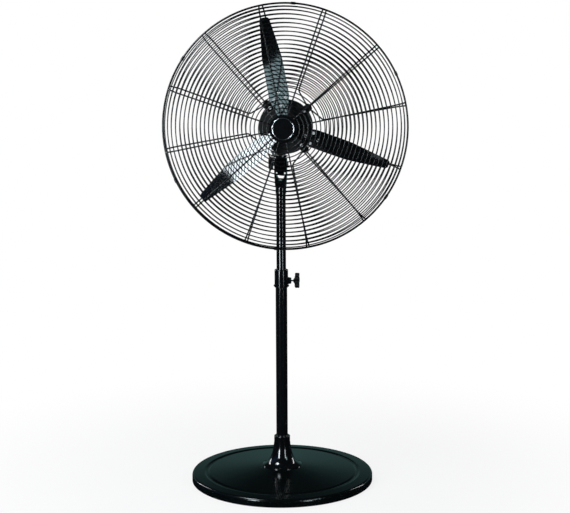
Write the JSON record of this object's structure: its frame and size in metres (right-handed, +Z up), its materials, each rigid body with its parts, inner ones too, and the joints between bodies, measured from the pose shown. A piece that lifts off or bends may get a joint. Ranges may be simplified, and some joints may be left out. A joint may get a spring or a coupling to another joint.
{
  "type": "pedestal fan",
  "caption": "Tall pedestal fan with a wire guard, metal paddle blades, an oscillating tilting head, a sliding pole with a clamp collar and a round dished base.",
  "frame": {"origin": "on the floor on the pole's axis, in the plane under the rubber feet", "axes": "+Z up along the pole, the fan blows towards -Y, +X to the right of someone who looks at the front"},
  "size_m": [0.7949, 0.616, 1.6063],
  "materials": {
    "gloss_black": "gloss black paint",
    "satin_black": "satin black paint",
    "cast_black": "satin black paint on cast aluminium",
    "wire_black": "semi-gloss black coating on wire",
    "blade_black": "high gloss black paint",
    "knob_black": "fine-grained black plastic",
    "cap_black": "gloss black plastic",
    "nylon_black": "plain black nylon",
    "zinc_steel": "zinc plated",
    "bright_steel": "ground steel",
    "core_iron": "stacked laminations",
    "copper": "varnished copper windings",
    "bronze": "sintered bronze",
    "rubber": "black rubber",
    "capacitor_grey": "dark grey case"
  },
  "bodies": {
    "stand": {"base_dish": "gloss_black", "base_feet": "rubber", "pole_socket": "satin_black", "socket_grubs": "zinc_steel", "socket_bolts": "zinc_steel", "socket_nuts": "zinc_steel", "bell_cover": "gloss_black", "lower_pole": "gloss_black", "pole_collar": "cap_black", "collar_screws": "zinc_steel"},
    "bush": {"guide_bush": "nylon_black"},
    "height_lock": {"height_knob": "knob_black", "height_screw": "zinc_steel"},
    "mast": {"upper_pole": "gloss_black", "pole_plug": "nylon_black", "yoke": "gloss_black", "yoke_screws": "zinc_steel", "tilt_bolt": "zinc_steel", "tilt_washer": "zinc_steel"},
    "tilt_lock": {"tilt_knob": "knob_black", "tilt_nut": "zinc_steel"},
    "neck": {"neck_block": "gloss_black", "swivel_bush": "bronze", "link_stud": "zinc_steel"},
    "head": {"front_shield": "cast_black", "rear_shield": "cast_black", "swivel_pin": "bright_steel", "motor_bolts": "zinc_steel", "front_bearing": "bright_steel", "rear_bearing": "bright_steel", "stator_core": "core_iron", "stator_coils": "copper", "gearbox_case": "cast_black", "gearbox_lid": "cast_black", "lid_screws": "zinc_steel", "switch_box": "knob_black", "speed_switch": "nylon_black", "run_capacitor": "capacitor_grey", "cable_gland": "nylon_black", "rear_guard_rim": "wire_black", "rear_guard_rings": "wire_black", "rear_guard_spokes": "wire_black", "guard_feet": "wire_black", "guard_screws": "zinc_steel", "front_guard_rim": "wire_black", "front_guard_rings": "wire_black", "front_guard_spokes": "wire_black", "front_plate": "gloss_black", "front_cap": "cap_black", "guard_clips": "wire_black"},
    "speed_dial": {"speed_knob": "knob_black"},
    "swing_pull": {"pull_knob": "knob_black"},
    "crank": {"crank_disc": "zinc_steel"},
    "link": {"link_bar": "zinc_steel"},
    "rotor": {"rotor_shaft": "bright_steel", "rotor_core": "core_iron", "blade_hub": "blade_black", "hub_screw": "zinc_steel", "blades": "blade_black", "blade_rivets": "zinc_steel"}
  },
  "joints": [
    {"name": "pole_turn", "type": "hinge", "parent": "stand", "child": "bush", "pos_m": [0, 0, 0.715], "axis": [0, 0, 1], "range_deg": [-180, 180]},
    {"name": "height_slide", "type": "slide", "parent": "bush", "child": "mast", "axis": [0, 0, 1], "range_m": [-0.07, 0.18]},
    {"name": "height_clamp", "type": "hinge", "parent": "stand", "child": "height_lock", "pos_m": [0.045, 0, 0.689], "axis": [1, 0, 0], "range_deg": [0, 360]},
    {"name": "tilt_clamp", "type": "hinge", "parent": "mast", "child": "tilt_lock", "pos_m": [-0.03, 0, 1.082], "axis": [-1, 0, 0], "range_deg": [0, 360]},
    {"name": "head_tilt", "type": "hinge", "parent": "mast", "child": "neck", "pos_m": [0, 0, 1.082], "axis": [-1, 0, 0], "range_deg": [-10, 30]},
    {"name": "head_swing", "type": "hinge", "parent": "neck", "child": "head", "pos_m": [0, 0, 1.11], "axis": [0, 0, 1], "range_deg": [-40, 40]},
    {"name": "speed_select", "type": "hinge", "parent": "head", "child": "speed_dial", "pos_m": [0.022, 0.18, 1.184], "axis": [0, 1, 0], "range_deg": [0, 270]},
    {"name": "swing_release", "type": "slide", "parent": "head", "child": "swing_pull", "axis": [0, 0, 1], "range_m": [0, 0.008]},
    {"name": "crank_turn", "type": "hinge", "parent": "head", "child": "crank", "pos_m": [0.022, 0.118, 1.124], "axis": [0, 0, 1], "range_deg": [-60, 60]},
    {"name": "link_turn", "type": "hinge", "parent": "crank", "child": "link", "pos_m": [0.00324, 0.12432, 1.12], "axis": [0, 0, 1], "range_deg": [-60, 60]},
    {"name": "blade_spin", "type": "hinge", "parent": "head", "child": "rotor", "pos_m": [0.022, -0.115, 1.208], "axis": [0, 1, 0], "continuous": true}
  ],
  "couplings": [
    {"joint": "crank_turn", "follows": "head_swing", "ratio": -1.39},
    {"joint": "link_turn", "follows": "head_swing", "ratio": 1.396}
  ]
}
